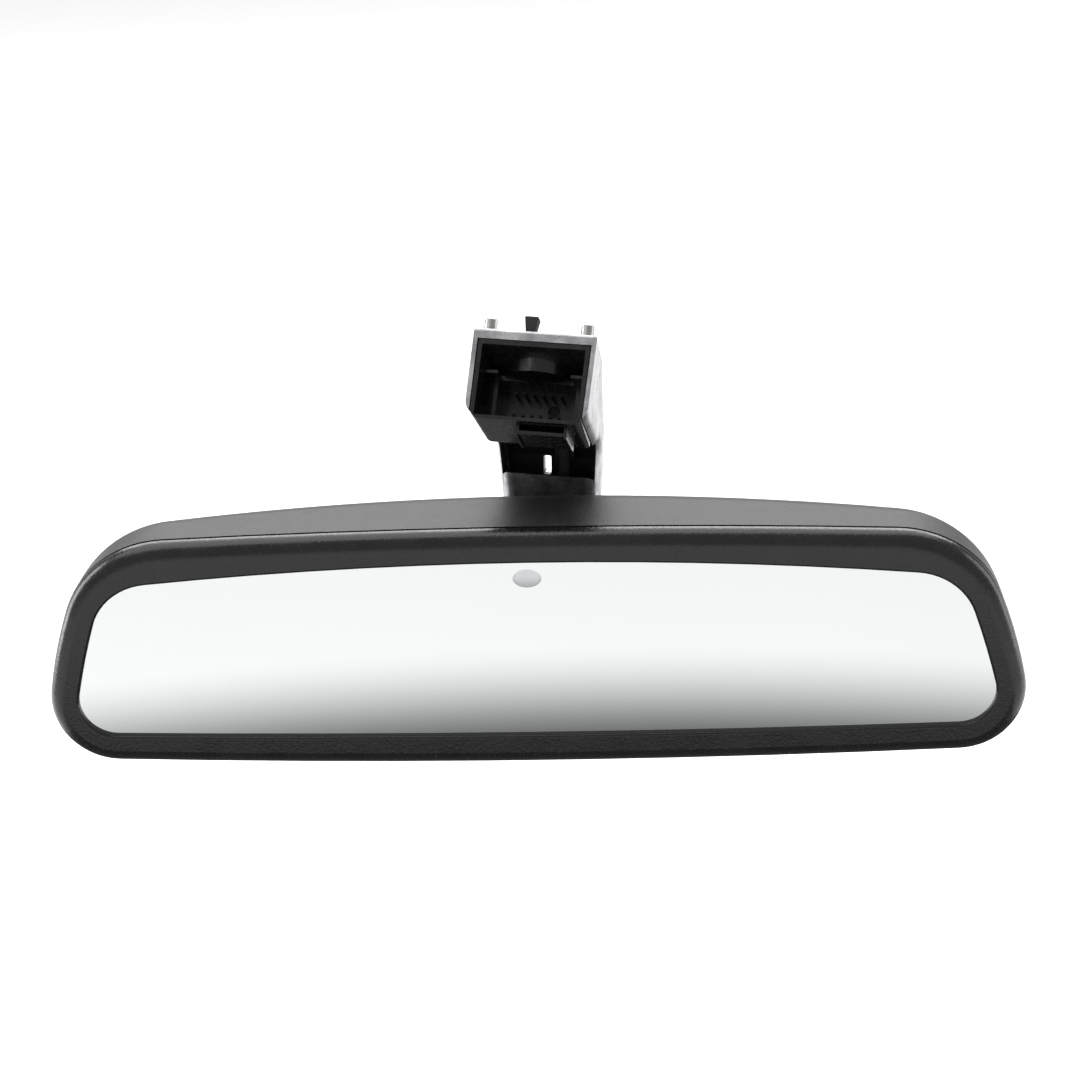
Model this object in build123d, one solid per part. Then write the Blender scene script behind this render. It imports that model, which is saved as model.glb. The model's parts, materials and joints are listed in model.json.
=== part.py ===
from build123d import *
import os
from math import cos, radians, sin, sqrt, tan

# Interior rearview mirror: a dimming glass in a plastic head, on a die-cast arm with a ball joint.
# Millimetres. Row frame: +X to the driver's right, +Y towards the windshield, +Z up.
# The origin is the centre of the mounting face on top of the arm.
#
# Three working frames are used:
#   head frame: origin at the glass centre in the bezel's front plane, axes as the row's
#   arm frame:  origin at the ball centre, +Y along the stud, turned by ARM_TURN and ARM_LEAN
#   foot frame: origin at the mounting face, +Z out of the face, +X across the arm

# ---- driving dimensions -------------------------------------------------------------------
# outlines of the bezel and of its opening, head frame: top and bottom edge at the middle, where
# the top and side arcs meet, a point of the side arc, where side and bottom arcs meet, and the
# radii that round the upper and lower corners
OUTLINE = dict(
    top=32.7, bottom=-35.3, top_corner=(114.2, 30.0), side=(129.7, -16.5),
    low_corner=(131.0, -32.5), top_r=30.0, low_r=18.0,
)
OPENING = dict(
    top=24.4, bottom=-26.2, top_corner=(111.6, 18.7), side=(122.8, -21.1),
    low_corner=(123.4, -24.5), top_r=17.0, low_r=9.9,
)
HEAD_OFFSET = -0.8           # the head's middle lies this far left of the ball

BEZEL_DEPTH = 4.3
BEZEL_EDGE_R = 4.1           # rounding of the bezel's front outer edge
BEZEL_WALL = 3.9
LIP_THICK = 1.4              # bezel lip in front of the glass
GLASS_OVERLAP = 2.0          # glass hidden behind the lip
PARTING_GAP = 0.9            # gap between bezel and rear housing
TONGUE = (2.9, 3.9)          # bezel tongue, inset from the outline
TONGUE_END = 10.0

HOUSING_DEPTH = 38.0         # back of the housing at the middle
HOUSING_BACK_R = 500.0       # radius of the curved back
HOUSING_TAPER = 5.0
HOUSING_EDGE_R = 12.5
HOUSING_WALL = 2.2

PANE = 1.6
CELL_GAP = 0.15
FOAM = 1.0
CARRIER_THICK = 2.0
BOARD_FRONT = 13.0
BOARD_THICK = 1.6
BOARD_HALF_X = 58.0
BOARD_Z = (-17.0, 26.0)
BOARD_HOLE_R = 14.6
SENSOR_X = -1.2
SENSOR_Z = 18.9
SENSOR_RX = 3.75             # half axes of the sensor window
SENSOR_RZ = 2.6

BALL_R = 8.5
BALL_Y = 22.5                # ball centre, head frame
BALL_Z = 5.0
SHELL_GAP = 0.05             # running clearance of the friction shells
SHELL_OUTER_R = 9.85
SEAT_R = 9.9
SOCKET_R = 13.8              # outside of the socket base
SOCKET_BORE = 11.5
STUD_R = 3.6
STUD_BORE = 2.0
STUD_SEAT_R = 5.0
CABLE_R = 1.5

ARM_TURN = -9.0              # turn of the arm about Z at rest, degrees
ARM_LEAN = 1.7               # its lean to the side, about its own Y
FOOT_TILT = 40.0             # tilt of the mounting face's normal from +Z, degrees
FOOT_Y = 12.07               # mounting face centre, arm frame
FOOT_Z = 66.2
HEAD_HALF_X = 16.0
NECK_HALF_X = 16.2           # half widths at the depth of the head's front
LOW_HALF_X = 13.4
HEAD_FLARE = 0.06            # gain of half width per millimetre of height in the head
SIDE_DRAFT = 3.4             # the side walls draw in towards the back, degrees
HEAD_HALF_Y = 13.0
HEAD_HEIGHT = 24.0
TOP_PLATE = 2.9
SIDE_WALL = 1.2
BACK_WALL = 2.0
BOSS_R = 8.0
BOSS_FACE = 14.2             # front of the stud boss, arm frame
STUD_END = 19.0              # rear end of the boss and of the stud in it

BUTTON_R = 6.5               # socket for the windshield button
BUTTON_DEPTH = 6.5
BUTTON_BOSS_R = 7.8
PIN_R = 1.75
PIN_HALF_X = 12.8
PIN_Y = -9.0
PIN_HEIGHT = 3.6
PIN_SHANK_R = 1.45           # pressed into the casting
PIN_SHANK = 1.9

# ---- frames and small helpers ---------------------------------------------------------------
GLASS_FRONT = LIP_THICK
REAR_PANE_FRONT = GLASS_FRONT + PANE + CELL_GAP
CELL_BACK = REAR_PANE_FRONT + PANE
FOAM_BACK = CELL_BACK + FOAM
CARRIER_BACK = FOAM_BACK + CARRIER_THICK
BOARD_BACK = BOARD_FRONT + BOARD_THICK
HOUSING_FRONT = BEZEL_DEPTH + PARTING_GAP

FOOT_IN_ARM = Location((0, FOOT_Y, FOOT_Z)) * Rotation(-FOOT_TILT, 0, 0)
ARM_POSE = Rotation(0, 0, ARM_TURN) * Rotation(0, ARM_LEAN, 0)
BALL = -(ARM_POSE * FOOT_IN_ARM).position                    # ball centre, row frame
HEAD_FRAME = Location((BALL.X, BALL.Y - BALL_Y, BALL.Z - BALL_Z))
ARM_FRAME = Location(BALL) * ARM_POSE
FOOT_FRAME = ARM_FRAME * FOOT_IN_ARM


def front_plane(y):
    """A sketch plane facing the viewer at depth y: sketch x is X and sketch y is Z."""
    return Plane(origin=(0, y, 0), x_dir=(1, 0, 0), z_dir=(0, -1, 0))


def slab(sketch, y0, y1):
    """The sketch (drawn in X and Z) made solid from depth y0 to y1."""
    return extrude(front_plane(y0) * sketch, amount=y1 - y0, dir=(0, 1, 0))


def rod(x, z, radius, y0, y1):
    """A round bar along Y."""
    return slab(Pos(x, z) * Circle(radius), y0, y1)


def cone_rod(x, z, r0, r1, y0, y1):
    """A truncated cone along Y."""
    cone = Cone(r0, r1, y1 - y0, align=(Align.CENTER, Align.CENTER, Align.MIN))
    return Pos(x, y0, z) * Rotation(-90, 0, 0) * cone


def block(x0, x1, y0, y1, z0, z1):
    """A box between two corners."""
    centre = ((x0 + x1) / 2, (y0 + y1) / 2, (z0 + z1) / 2)
    return Pos(*centre) * Box(x1 - x0, y1 - y0, z1 - z0)


def across(points, half_x, radii=None):
    """A prism across X from a side profile of (y, z) points, with rounded corners."""
    side = Plane(origin=(-half_x, 0, 0), x_dir=(0, 1, 0), z_dir=(1, 0, 0))
    face = Polygon(*points, align=None)
    for index, radius in (radii or {}).items():
        corner = face.vertices().sort_by_distance(Vector(*points[index]))[0]
        face = fillet(corner, radius)
    return extrude(side * face, amount=2 * half_x, dir=(1, 0, 0))


def turned(points, x=0.0, y=0.0, z=0.0):
    """A solid of revolution about Y from (radius, depth) points."""
    face = Polygon(*points, align=None)
    return Pos(x, y, z) * revolve(Plane.XY * face, Axis.Y)


def ball_at(radius):
    return Sphere(radius)


def screw(x, z, y_seat, head_r, head_h, shank_r, length, sign=1.0):
    """A pan-head screw along Y: the head is on the sign side of y_seat, the shank on the other."""
    head = turned([(0, 0), (head_r, 0), (head_r, 0.6 * head_h), (0.7 * head_r, head_h), (0, head_h)])
    head -= Rotation(-90, 0, 0) * Pos(0, 0, 0.45 * head_h) * extrude(
        RegularPolygon(0.5 * head_r, 6), amount=head_h
    )
    shank = turned([(0, 0), (shank_r, 0), (shank_r, -length + shank_r), (0, -length)])
    body = head + shank
    if sign < 0:
        body = mirror(body, Plane.XZ)
    return Pos(x, y_seat, z) * body


def group(solids):
    """Several separate solids in one node."""
    return Compound([part.solid() for part in solids])


# ---- outlines of the head -------------------------------------------------------------------
def rounded_outline(top, bottom, top_corner, side, low_corner, top_r, low_r):
    """A closed outline of four arcs, rounded where they meet."""
    top_x, top_z = top_corner
    low_x, low_z = low_corner
    side_x, side_z = side
    edges = Curve() + [
        ThreePointArc((-top_x, top_z), (0, top), (top_x, top_z)),
        ThreePointArc((top_x, top_z), (side_x, side_z), (low_x, low_z)),
        ThreePointArc((low_x, low_z), (0, bottom), (-low_x, low_z)),
        ThreePointArc((-low_x, low_z), (-side_x, side_z), (-top_x, top_z)),
    ]
    face = make_face(edges)
    for x, z, radius in (
        (top_x, top_z, top_r), (-top_x, top_z, top_r), (low_x, low_z, low_r), (-low_x, low_z, low_r),
    ):
        corner = face.vertices().sort_by_distance(Vector(x, z))[0]
        face = fillet(corner, radius)
    return Pos(HEAD_OFFSET, 0) * face


ROUNDED_OUTLINE = rounded_outline(**OUTLINE)
ROUNDED_OPENING = rounded_outline(**OPENING)


def inset_arc(arc, inset):
    """The arc about the same centre with a smaller radius, between the same angles."""
    centre = arc.arc_center
    share = (arc.radius - inset) / arc.radius
    start, middle, end = (centre + (arc @ t - centre) * share for t in (0, 0.5, 1))
    return ThreePointArc(start, middle, end)


def inset_outline(face, inset):
    """The outline moved inwards. All its arcs bulge outwards, so each keeps its centre."""
    return make_face(Curve() + [inset_arc(arc, inset) for arc in face.edges()])


def outline(inset=0.0):
    return inset_outline(ROUNDED_OUTLINE, inset)


def opening(inset=0.0):
    return inset_outline(ROUNDED_OPENING, inset)


def glass_outline(inset=0.0):
    return opening(inset - GLASS_OVERLAP)


def sensor_ellipse(margin=0.0):
    return Pos(SENSOR_X, SENSOR_Z) * Ellipse(SENSOR_RX + margin, SENSOR_RZ + margin)


def save(name, shape, frame):
    placed = frame * shape
    placed.label = name
    export_step(placed, f"parts/{name}.step")


# ---- head: bezel, housing, glass --------------------------------------------------------------
def front_bezel():
    body = slab(outline(), 0, BEZEL_DEPTH)
    front_edge = body.faces().sort_by(Axis.Y)[0].outer_wire().edges()
    body = fillet(front_edge, BEZEL_EDGE_R)
    body -= slab(opening(), -1, BEZEL_DEPTH + 1)
    inner_edge = body.faces().sort_by(Axis.Y)[0].inner_wires()[0].edges()
    body = fillet(inner_edge, 0.7)
    body -= slab(outline(BEZEL_WALL), LIP_THICK, BEZEL_DEPTH + 1)
    rib_ring = (glass_outline(-1.4) & outline(BEZEL_WALL - 0.2)) - glass_outline(-0.2)
    locating_rib = slab(rib_ring, LIP_THICK, FOAM_BACK - 0.6)
    tongue = slab(outline(TONGUE[0]) - outline(TONGUE[1]), BEZEL_DEPTH - 0.5, TONGUE_END)
    return body + locating_rib + tongue


def housing_form(inset):
    """The housing's outer form, or its inner one with an inset."""
    profile = outline(inset)
    length = HOUSING_DEPTH
    body = extrude(
        front_plane(HOUSING_FRONT) * profile, amount=length, dir=(0, 1, 0), taper=HOUSING_TAPER
    )
    radius = HOUSING_BACK_R - inset
    back = Pos(0, HOUSING_DEPTH - HOUSING_BACK_R, 0) * Cylinder(radius, 200)
    body = body & back
    edge_r = HOUSING_EDGE_R - inset
    back_face = body.faces().sort_by(Axis.Y)[-1]
    return fillet(back_face.outer_wire().edges(), edge_r)


# scoop round the stud: (radius, depth from the ball centre) of its outer surface
SCOOP_BALL_R = 13.6
SCOOP_RIM = (12.6, 6.2)
SCOOP_MOUTH = (26.5, 17.2)
CHANNEL_HALF_X = 24.0
CHANNEL_FLOOR = 12.3         # depth from the ball centre at the ball's height
CHANNEL_LEAN = 10.8          # the channel's floor leans forward going up, degrees
CHANNEL_CORNER_R = 7.0
SCOOP_WALL = 1.8
STUD_HOLE_ANGLE = 43.0


def scoop_void(grow=0.0):
    """The space left for the arm behind the head, in the head frame."""
    bowl_floor = ball_at(SCOOP_BALL_R - grow)
    rim_r, rim_u = SCOOP_RIM
    mouth_r, mouth_u = SCOOP_MOUTH
    bowl = turned(
        [(0, rim_u - grow), (rim_r, rim_u - grow), (mouth_r + grow, mouth_u - grow), (mouth_r + grow, 40), (0, 40)]
    )
    bowl -= bowl_floor
    half = CHANNEL_HALF_X + grow
    floor_y = CHANNEL_FLOOR - grow
    section = Pos(0, floor_y + 20) * Rectangle(2 * half, 40)
    section = fillet(section.vertices().sort_by(Axis.Y)[:2], CHANNEL_CORNER_R + grow)
    channel = Rotation(CHANNEL_LEAN, 0, 0) * extrude(section, amount=45)
    return Pos(0, BALL_Y, BALL_Z) * (bowl + channel)


POSTS = [(sx * 88.0, z) for sx in (-1, 1) for z in (14.0, -17.0)]
AMBIENT = (36.0, 14.0, 3.2)  # x, z and radius of the ambient lens


def rear_housing():
    outer = housing_form(0) - scoop_void()
    inner = housing_form(HOUSING_WALL) - scoop_void(SCOOP_WALL)
    inner += slab(outline(HOUSING_WALL), HOUSING_FRONT - 1, HOUSING_FRONT + 0.1)
    body = outer - inner
    hole_r = SCOOP_BALL_R * sin(radians(STUD_HOLE_ANGLE))
    body -= Pos(0, BALL_Y, BALL_Z) * rod(0, 0, hole_r, 0, 20)
    posts_end = housing_form(HOUSING_WALL / 2)
    for x, z in POSTS:
        body += rod(x, z, 3.6, CARRIER_BACK + 0.05, HOUSING_DEPTH) & posts_end
    for x, z in POSTS:
        body -= rod(x, z, 1.25, CARRIER_BACK - 1, CARRIER_BACK + 9)
    ax, az, ar = AMBIENT
    body -= rod(ax, az, ar + 0.1, 20, 50)
    return body


def front_glass():
    return slab(glass_outline(), GLASS_FRONT, GLASS_FRONT + PANE)


def rear_glass():
    return slab(glass_outline(0.3), REAR_PANE_FRONT, CELL_BACK)


def cell_seal():
    ring = glass_outline(2.9) - glass_outline(4.4)
    return slab(ring, GLASS_FRONT + PANE, REAR_PANE_FRONT)


CLIP_THICK = 0.12
CLIP_HALF_X = 82.0


def bus_clip(side):
    """A thin J-shaped clip over the top (+1) or bottom (-1) edge of the rear pane."""
    edge = glass_outline(0.3)
    y_front = REAR_PANE_FRONT - CLIP_THICK
    legs = edge - glass_outline(2.5)
    rim = glass_outline(0.3 - CLIP_THICK) - edge
    clip = slab(legs, y_front, REAR_PANE_FRONT) + slab(legs, CELL_BACK, CELL_BACK + CLIP_THICK)
    clip += slab(rim, y_front, CELL_BACK + CLIP_THICK)
    z0, z1 = (15, 40) if side > 0 else (-40, -15)
    return clip & block(-CLIP_HALF_X, CLIP_HALF_X, 0, 12, z0, z1)


def foam_pad():
    pad = slab(glass_outline(3.2), CELL_BACK, FOAM_BACK)
    return pad - slab(sensor_ellipse(1.2), CELL_BACK - 1, FOAM_BACK + 1)


BOARD_FIXINGS = [(sx * 50.0, z) for sx in (-1, 1) for z in (20.0, -11.0)]
BASE_FIXINGS = [(12.3 * cos(radians(a)), BALL_Z + 12.3 * sin(radians(a))) for a in (30, 150, 270)]
RIB_STEP = 24.0


def carrier_plate():
    body = slab(glass_outline(-1.2) & outline(BEZEL_WALL + 0.3), FOAM_BACK, CARRIER_BACK)
    for sign in (-1, 1):
        for i in range(2):
            x = sign * (70 + i * RIB_STEP / 2 * 2.6)
            body += block(x - 0.6, x + 0.6, CARRIER_BACK, CARRIER_BACK + 3, -20, 20)
    for z in (-22.0, 25.5):
        body += block(-100, 100, CARRIER_BACK, CARRIER_BACK + 3, z - 0.6, z + 0.6) & slab(
            glass_outline(0), 0, 20
        )
    for x, z in BOARD_FIXINGS:
        body += rod(x, z, 3.0, CARRIER_BACK, BOARD_FRONT)
    for x, z in BOARD_FIXINGS:
        body -= rod(x, z, 1.05, CARRIER_BACK + 0.5, BOARD_FRONT + 1)
    for x, z in POSTS:
        body -= rod(x, z, 1.5, FOAM_BACK - 1, CARRIER_BACK + 4)
        body -= rod(x, z, 2.7, FOAM_BACK - 1, FOAM_BACK + 1.2)
    for x, z in BASE_FIXINGS:
        body -= rod(x, z, 1.1, FOAM_BACK - 1, CARRIER_BACK + 1)
        body -= rod(x, z, 2.3, FOAM_BACK - 1, FOAM_BACK + 1.2)
    return body - slab(sensor_ellipse(0.6), FOAM_BACK - 1, CARRIER_BACK + 1)


# ---- head: electronics --------------------------------------------------------------------------
def circuit_board():
    z0, z1 = BOARD_Z
    sheet = Pos(0, (z0 + z1) / 2) * RectangleRounded(2 * BOARD_HALF_X, z1 - z0, 3)
    sheet -= Pos(0, BALL_Z) * Circle(BOARD_HOLE_R)
    for x, z in BOARD_FIXINGS:
        sheet -= Pos(x, z) * Circle(1.3)
    return slab(sheet, BOARD_FRONT, BOARD_BACK)


def control_chip():
    body = block(-38, -28, BOARD_BACK + 0.15, BOARD_BACK + 1.75, 3, 13)
    legs = body
    for i in range(8):
        z = 4.1 + i * 1.1
        for x0, x1 in ((-39.4, -37.9), (-28.1, -26.6)):
            legs += block(x0, x1, BOARD_BACK, BOARD_BACK + 0.6, z - 0.2, z + 0.2)
    return legs


def capacitors():
    cans = []
    for x in (-20.0, 22.0):
        can = rod(x, 17, 4.0, BOARD_BACK, BOARD_BACK + 8.5)
        can -= turned([(4.6, 0.9), (3.7, 1.3), (4.6, 1.7)], x, BOARD_BACK, 17)
        cans.append(can)
    return group(cans)


def resistors():
    row = [
        block(26 + i * 3.2, 27.4 + i * 3.2, BOARD_BACK, BOARD_BACK + 0.55, z - 1.3, z + 1.3)
        for i in range(6)
        for z in (-2.0, -8.0)
    ]
    return group(row)


def glare_sensor():
    above_hole = BALL_Z + BOARD_HOLE_R + 0.3
    return block(SENSOR_X - 2, SENSOR_X + 2, BOARD_FRONT - 1.4, BOARD_FRONT, above_hole, above_hole + 2.8)


def glare_light_pipe():
    """A clear elliptical pipe from just behind the glass to the sensor."""
    pipe = slab(sensor_ellipse(-0.3), CELL_BACK + 0.1, BOARD_FRONT - 1.6)
    flange = slab(sensor_ellipse(1.0), CARRIER_BACK, CARRIER_BACK + 0.8)
    return pipe + flange


def ambient_sensor():
    x, z, _ = AMBIENT
    return block(x - 2, x + 2, BOARD_BACK, BOARD_BACK + 1.4, z - 1.6, z + 1.6)


def ambient_window():
    """A domed lens in the back of the housing with a pipe down to the sensor."""
    x, z, r = AMBIENT
    back_y = HOUSING_DEPTH - HOUSING_BACK_R + sqrt(HOUSING_BACK_R**2 - x**2)
    inside_y = back_y - HOUSING_WALL - 0.6
    lens = rod(x, z, r, inside_y - 0.2, back_y)
    flange = rod(x, z, r + 1.4, inside_y - 1.2, inside_y)
    pipe = cone_rod(x, z, 1.6, 2.3, BOARD_BACK + 1.6, inside_y - 1.0)
    return lens + flange + pipe


CABLE_Y = 10.4               # height of the head lead's run above the glass, head frame
PLUG_X = (25.0, 33.0)
HEADER_X = (33.2, 40.5)


def board_connector():
    x0, x1 = HEADER_X
    shell = block(x0, x1, CABLE_Y - 2.2, BOARD_FRONT, BALL_Z - 6, BALL_Z + 6)
    shell -= block(x0 - 1, x1 - 2.2, CABLE_Y - 1.4, CABLE_Y + 1.6, BALL_Z - 5, BALL_Z + 5)
    return shell


def head_plug():
    x0, x1 = PLUG_X
    body = block(x0, x1, CABLE_Y - 1.9, CABLE_Y + 2.0, BALL_Z - 5.4, BALL_Z + 5.4)
    nose = block(x1, x1 + 4.4, CABLE_Y - 1.2, CABLE_Y + 1.4, BALL_Z - 4.8, BALL_Z + 4.8)
    for i in range(4):
        z = BALL_Z - 3.6 + 2.4 * i
        nose -= block(x1 + 1, x1 + 5, CABLE_Y - 0.5, CABLE_Y + 0.5, z - 0.5, z + 0.5)
    return body + nose


def tube(points, radii, radius):
    """A round lead along straight runs joined by arcs; prints its arcs' radii."""
    path = FilletPolyline(*points, radius=radii)
    print("lead arcs", [round(r, 1) for r in radii], "mm, length", round(path.length, 1))
    start = Plane(origin=path @ 0, z_dir=path % 0)
    return sweep(start * Circle(radius), path=path)


LEAD_GAP = 0.5               # half of the gap between the two leads at the ball centre


def head_harness():
    points = [
        (0, BALL_Y - LEAD_GAP, BALL_Z),
        (0, CABLE_Y, BALL_Z),
        (PLUG_X[0], CABLE_Y, BALL_Z),
    ]
    return tube(points, [6.5], CABLE_R)


# ---- head: ball socket ----------------------------------------------------------------------------
BASE_FLOOR = (12.6, 13.8)
BASE_TOP = 21.5
PIPE_CLEAR_Z = 15.0          # the base is cut away above this for the light pipe
CAP_OUTER_R = 11.2
EAR_RADIUS = 16.2            # distance of the cap screws from the stud axis
EAR_ANGLES = (30, 150, 270)


def ear_points(distance=EAR_RADIUS):
    """Where the cap screws stand round the ball, as (x, z)."""
    return [
        (distance * cos(radians(a)), BALL_Z + distance * sin(radians(a))) for a in EAR_ANGLES
    ]


def ears(radius, y0, y1):
    """Three ears round the socket that take the cap screws."""
    rods = [rod(x, z, radius, y0, y1) for x, z in ear_points() + ear_points(0.85 * EAR_RADIUS)]
    return rods[0] + rods[1:]


def ear_holes(radius, y0, y1):
    holes = [rod(x, z, radius, y0, y1) for x, z in ear_points()]
    return holes[0] + holes[1:]


def socket_base():
    body = rod(0, BALL_Z, SOCKET_R, CARRIER_BACK, BASE_TOP)
    body += ears(2.8, 16.4, BASE_TOP)
    body -= rod(0, BALL_Z, 10.8, CARRIER_BACK - 1, BASE_FLOOR[0])
    body -= rod(0, BALL_Z, 6.0, CARRIER_BACK, BASE_TOP)
    body -= rod(0, BALL_Z, SOCKET_BORE, BASE_FLOOR[1], BASE_TOP + 1)
    body -= ear_holes(0.95, 16, BASE_TOP + 1)
    for x, z in BASE_FIXINGS:
        body -= rod(x, z, 0.85, CARRIER_BACK - 1, CARRIER_BACK + 4.5)
    body -= block(-12, 12, CARRIER_BACK - 1, BASE_FLOOR[0], PIPE_CLEAR_Z, 30)
    exit_notch = block(5, SOCKET_R + 1, CARRIER_BACK - 1, CABLE_Y + 1.9, BALL_Z - 1.9, BALL_Z + 1.9)
    return body - exit_notch


def pressure_ring():
    ring = rod(0, BALL_Z, SOCKET_BORE - 0.1, 15.1, 21.2)
    ring -= rod(0, BALL_Z, 6.6, 10, 30)
    return ring - Pos(0, BALL_Y, BALL_Z) * ball_at(SEAT_R)


def wave_spring():
    """A crest-to-crest wave washer, simplified to a flat ring with three raised pads each side."""
    ring = rod(0, BALL_Z, 10.6, 14.2, 14.7) - rod(0, BALL_Z, 7.4, 13, 16)
    for i in range(6):
        angle = radians(60 * i)
        x = 9.0 * cos(angle)
        z = BALL_Z + 9.0 * sin(angle)
        y0, y1 = (13.8, 14.3) if i % 2 else (14.6, 15.1)
        ring += rod(x, z, 1.4, y0, y1)
    return ring


def socket_cap():
    opening_r = SEAT_R * sin(radians(46))
    body = Pos(0, BALL_Y, BALL_Z) * (ball_at(CAP_OUTER_R) & block(-20, 20, -1, 20, -20, 20))
    flange = rod(0, BALL_Z, SOCKET_R, BASE_TOP, BASE_TOP + 1.6) + ears(2.8, BASE_TOP, BASE_TOP + 1.6)
    body += flange
    body -= Pos(0, BALL_Y, BALL_Z) * ball_at(SEAT_R)
    body -= rod(0, BALL_Z, opening_r, BALL_Y, BALL_Y + 20)
    return body - ear_holes(1.2, BASE_TOP - 1, BASE_TOP + 3)


def shell_ring(inner_angle, outer_angle, side):
    """A spherical shell between two angles from the stud axis, on the front (-1) or rear (+1)."""
    inner_r = BALL_R + SHELL_GAP
    near = SHELL_OUTER_R * cos(radians(outer_angle))
    shell = ball_at(SHELL_OUTER_R) - ball_at(inner_r)
    shell = shell & block(-20, 20, near, 20, -20, 20)
    reach = 20.0
    inner_cone = turned([(0, 0), (reach * tan(radians(inner_angle)), reach), (0, reach)])
    shell -= inner_cone
    return mirror(shell, Plane.XZ) if side < 0 else shell


def front_cup():
    return Pos(0, BALL_Y, BALL_Z) * shell_ring(42, 76, -1)


def rear_cup():
    return Pos(0, BALL_Y, BALL_Z) * shell_ring(57, 83, 1)


def socket_screws():
    return group([screw(x, z, BASE_TOP + 1.6, 1.9, 1.5, 0.9, 6.0) for x, z in ear_points()])


def base_screws():
    return group([screw(x, z, FOAM_BACK + 1.2, 2.1, 1.0, 0.8, 4.8, -1) for x, z in BASE_FIXINGS])


def board_screws():
    return group([screw(x, z, BOARD_BACK, 2.4, 1.6, 1.0, 6.0) for x, z in BOARD_FIXINGS])


def housing_screws():
    return group([screw(x, z, FOAM_BACK + 1.2, 2.5, 1.1, 1.2, 9.0, -1) for x, z in POSTS])


# ---- arm -------------------------------------------------------------------------------------------
def foot_point(y, z):
    """A point of the foot frame's Y-Z plane, in the arm frame."""
    c, s = cos(radians(FOOT_TILT)), sin(radians(FOOT_TILT))
    return (FOOT_Y + y * c + z * s, FOOT_Z - y * s + z * c)


NECK_BACK = [(26.3, 30.0), (26.5, -13.0)]
NECK_FRONT = [(18.0, -13.0), (13.3, 38.0)]
NECK_BOTTOM = -13.5
NECK_BOTTOM_R = 10.5
NECK_REAR_R = 3.0
NECK_FRONT_R = 4.5
FACE_EDGE_R = 1.0
WINDOW_Z = 28.0              # lower edge of the opening in the neck's front


def front_form(inset=0.0):
    """The arm seen from the front, drawn in towards the back: head, neck and round lower end."""
    start_y = -14.0
    head_x = HEAD_HALF_X - inset
    neck_x = NECK_HALF_X - inset
    low_x = LOW_HALF_X - inset
    low_z = NECK_BOTTOM + inset
    side = [(low_x, low_z), (neck_x, 38), (head_x, 54), (head_x + HEAD_FLARE * 56, 110)]
    points = side + [(-x, z) for x, z in reversed(side)]
    face = Polygon(*points, align=None)
    for x, z, radius in (
        (neck_x, 38, 30), (-neck_x, 38, 30), (head_x, 54, 30), (-head_x, 54, 30),
        (low_x, low_z, NECK_BOTTOM_R - inset), (-low_x, low_z, NECK_BOTTOM_R - inset),
    ):
        corner = face.vertices().sort_by_distance(Vector(x, z))[0]
        face = fillet(corner, radius)
    return extrude(front_plane(start_y) * face, amount=60, dir=(0, 1, 0), taper=SIDE_DRAFT)


def side_form():
    """The arm seen from the side, head and neck in one."""
    points = [
        foot_point(-HEAD_HALF_Y, 0),
        foot_point(HEAD_HALF_Y, 0),
        *NECK_BACK,
        *NECK_FRONT,
        foot_point(HEAD_HALF_Y + 0.4, -HEAD_HEIGHT),
        foot_point(-HEAD_HALF_Y, -HEAD_HEIGHT),
    ]
    return across(points, 40, {2: 40.0, 5: 5.0, 6: 5.0})


def cavity():
    """The arm's hollow: open to the front and below in the head, closed in front in the neck."""
    points = [
        foot_point(-40, -TOP_PLATE),
        foot_point(HEAD_HALF_Y - 2.4, -TOP_PLATE),
        (24.3, 30.0),
        (24.5, -4.5),
        (STUD_END, -4.5),
        (18.6, 10.0),
        (15.6, WINDOW_Z - 1.0),
        (14.6, WINDOW_Z),
        (-60, WINDOW_Z),
    ]
    hollow = across(points, 40, {1: 2.0, 2: 40.0, 3: 3.0})
    return hollow & front_form(SIDE_WALL)


SLIT = (-1.7, 27.1, 2.1, 5.6)    # x, z, width and height of the slit in the neck's back


def slit(y0, y1):
    x, z, width, height = SLIT
    shape = Pos(x, z) * RectangleRounded(width, height, 0.5)
    return slab(shape, y0, y1)


def arm_casting():
    body = side_form() & front_form()
    rear = body.edges().filter_by(
        lambda e: e.center().Y > 22.3 and e.center().Z < 57 and (abs(e.center().X) > 5 or e.center().Z < -10)
    )
    body = fillet(rear, NECK_REAR_R)
    front = body.edges().filter_by(
        lambda e: 9 < e.center().Y < 18.2 and -13 < e.center().Z < 37 and e.length > 2
        and (abs(e.center().X) > 9 or e.center().Z < -10)
    )
    body = fillet(front, NECK_FRONT_R)
    face_edges = body.edges().filter_by(lambda e: e.center().Z > 58 and e.center().Y > 1.9)
    body = fillet(face_edges, FACE_EDGE_R)
    boss = rod(0, 0, BOSS_R, BOSS_FACE, STUD_END)
    body = body - cavity() + boss
    body -= rod(0, 0, STUD_SEAT_R + 0.01, BOSS_FACE - 1, 22)
    body -= slit(20, 30)
    socket = Cylinder(BUTTON_BOSS_R, BUTTON_DEPTH + 1.3, align=(Align.CENTER, Align.CENTER, Align.MAX))
    socket = FOOT_IN_ARM * socket
    body += socket
    bore = Cylinder(BUTTON_R, BUTTON_DEPTH, align=(Align.CENTER, Align.CENTER, Align.MAX))
    groove = Pos(0, 0, -RING_Z) * Cylinder(RING_GROOVE_R, RING_THICK + 0.1)
    tool = FOOT_IN_ARM * (bore + groove)
    for x in (-PIN_HALF_X, PIN_HALF_X):
        tool += FOOT_IN_ARM * Pos(x, PIN_Y, -1.0) * Cylinder(PIN_SHANK_R + 0.01, 2.0)
    tool += FOOT_IN_ARM * Pos(TAB_X, TAB_Y, -0.75) * Box(TAB_LOW + 0.1, TAB_DEEP + 0.1, 1.5)
    return body - tool


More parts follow.
